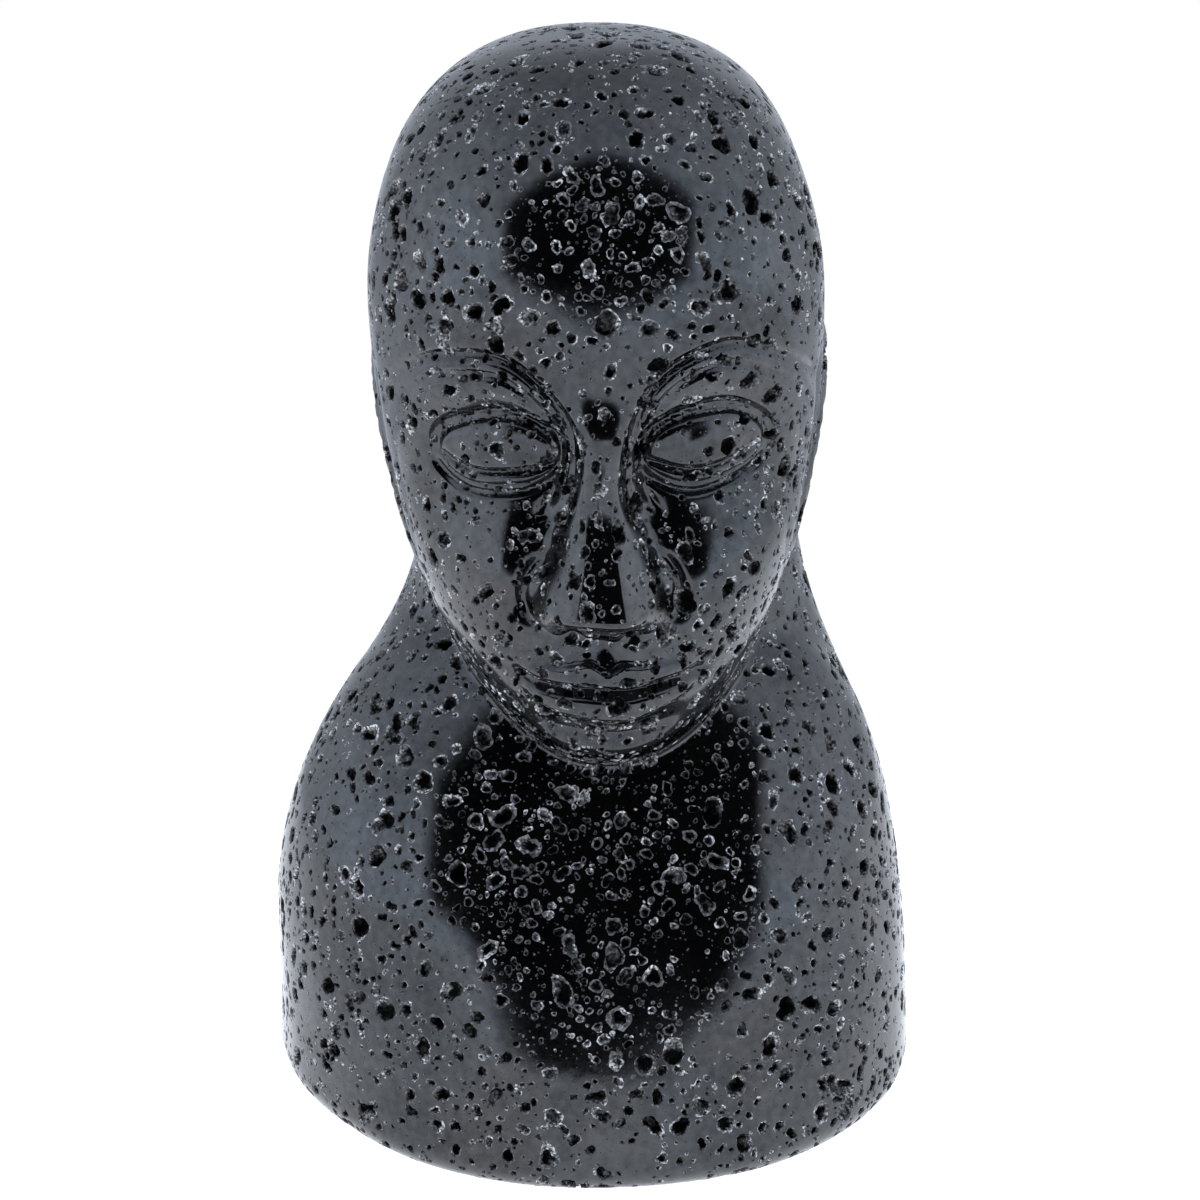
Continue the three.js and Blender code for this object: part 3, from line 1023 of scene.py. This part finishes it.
# ---- Camera and studio ----
CAMERA_DISTANCE = 0.340
CAMERA_TILT = math.radians(19.77)
CAMERA_LENS = 101.3
CAMERA_TARGET = Vector((0.0008, 0.00308, 0.05224))
TENT_BRIGHTNESS = 2.4
OPENING_HALF_ANGLE = math.radians(41)
OPENING_NARROWING = 0.86
OPENING_FLATTENING = 1.45
OPENING_RISE = math.radians(8)
FLOOR_FRONT = -0.62
FLOOR_BACK = 0.12
FLOOR_GLOW_FRONT = -0.05
FLOOR_GLOW_BACK = 0.1


def add_camera():
    data = bpy.data.cameras.new("camera")
    data.lens = CAMERA_LENS
    data.clip_start = 0.01
    camera = bpy.data.objects.new("camera", data)
    bpy.context.scene.collection.objects.link(camera)
    away = Vector((0, -math.cos(CAMERA_TILT), math.sin(CAMERA_TILT)))
    camera.location = CAMERA_TARGET + away * CAMERA_DISTANCE
    camera.rotation_euler = (-away).to_track_quat("-Z", "Y").to_euler()
    bpy.context.scene.camera = camera
    return away


def add_floor():
    """A table top that ends shortly behind the figure."""
    steps = 12
    across = np.linspace(-1.2, 1.2, steps + 1)
    back = np.linspace(FLOOR_FRONT, FLOOR_BACK, steps + 1)
    points = np.array([(x, y, 0) for y in back for x in across])
    corner = np.array([(r * (steps + 1) + c) for r in range(steps) for c in range(steps)])
    faces = np.stack([corner, corner + 1, corner + steps + 2, corner + steps + 1], axis=1)
    floor = new_object("floor", points, faces, (pale_floor(),))


def add_tent(towards_camera):
    """White cloth all round, with the opening that the camera looks through."""
    world = bpy.data.worlds.new("light_tent")
    bpy.context.scene.world = world
    world.use_nodes = True
    nodes = world.node_tree.nodes
    links = world.node_tree.links
    nodes.clear()
    direction = nodes.new("ShaderNodeTexCoord").outputs["Generated"]
    right = Vector((1, 0, 0))
    opening = Matrix.Rotation(-OPENING_RISE, 3, right) @ towards_camera
    up = opening.cross(right)

    def along(axis):
        node = nodes.new("ShaderNodeVectorMath")
        node.operation = "DOT_PRODUCT"
        links.new(direction, node.inputs[0])
        node.inputs[1].default_value = axis
        return node.outputs["Value"]

    forward = arithmetic(nodes, links, "MAXIMUM", along(opening), 0.001)
    spread = None
    for turn in (0, 60, 120):
        angle = math.radians(turn)
        axis = right * math.cos(angle) * OPENING_NARROWING + up * math.sin(angle) * OPENING_FLATTENING
        slope = arithmetic(nodes, links, "DIVIDE", along(axis), forward)
        slope = arithmetic(nodes, links, "ABSOLUTE", slope, 0)
        spread = slope if spread is None else arithmetic(nodes, links, "MAXIMUM", spread, slope)
    edge = math.tan(OPENING_HALF_ANGLE)
    lit = mapped(nodes, links, spread, edge * 0.86, edge * 1.08, 0.005, 1.0)
    overhead = mapped(nodes, links, along((0, 0, 1)), 0.15, 0.95, 1.0, 0.62)
    behind = mapped(nodes, links, along((0, 1, 0)), 0.0, 0.8, 1.0, 0.3)
    strength = arithmetic(nodes, links, "MULTIPLY", lit, overhead)
    strength = arithmetic(nodes, links, "MULTIPLY", strength, behind)
    strength = arithmetic(nodes, links, "MULTIPLY", strength, TENT_BRIGHTNESS)

    tent = nodes.new("ShaderNodeBackground")
    tent.inputs["Color"].default_value = (0.9, 0.98, 1.12, 1)
    links.new(strength, tent.inputs["Strength"])
    backdrop = nodes.new("ShaderNodeBackground")
    backdrop.inputs["Color"].default_value = (1, 1, 1, 1)
    seen = nodes.new("ShaderNodeLightPath").outputs["Is Camera Ray"]
    choice = nodes.new("ShaderNodeMixShader")
    links.new(seen, choice.inputs["Fac"])
    links.new(tent.outputs["Background"], choice.inputs[1])
    links.new(backdrop.outputs["Background"], choice.inputs[2])
    output = nodes.new("ShaderNodeOutputWorld")
    links.new(choice.outputs["Shader"], output.inputs["Surface"])


bpy.context.scene.view_settings.view_transform = "Standard"
add_tent(add_camera())
add_floor()
build_stone(polished_stone(), pore_wall_stone())
build_felt(black_felt())
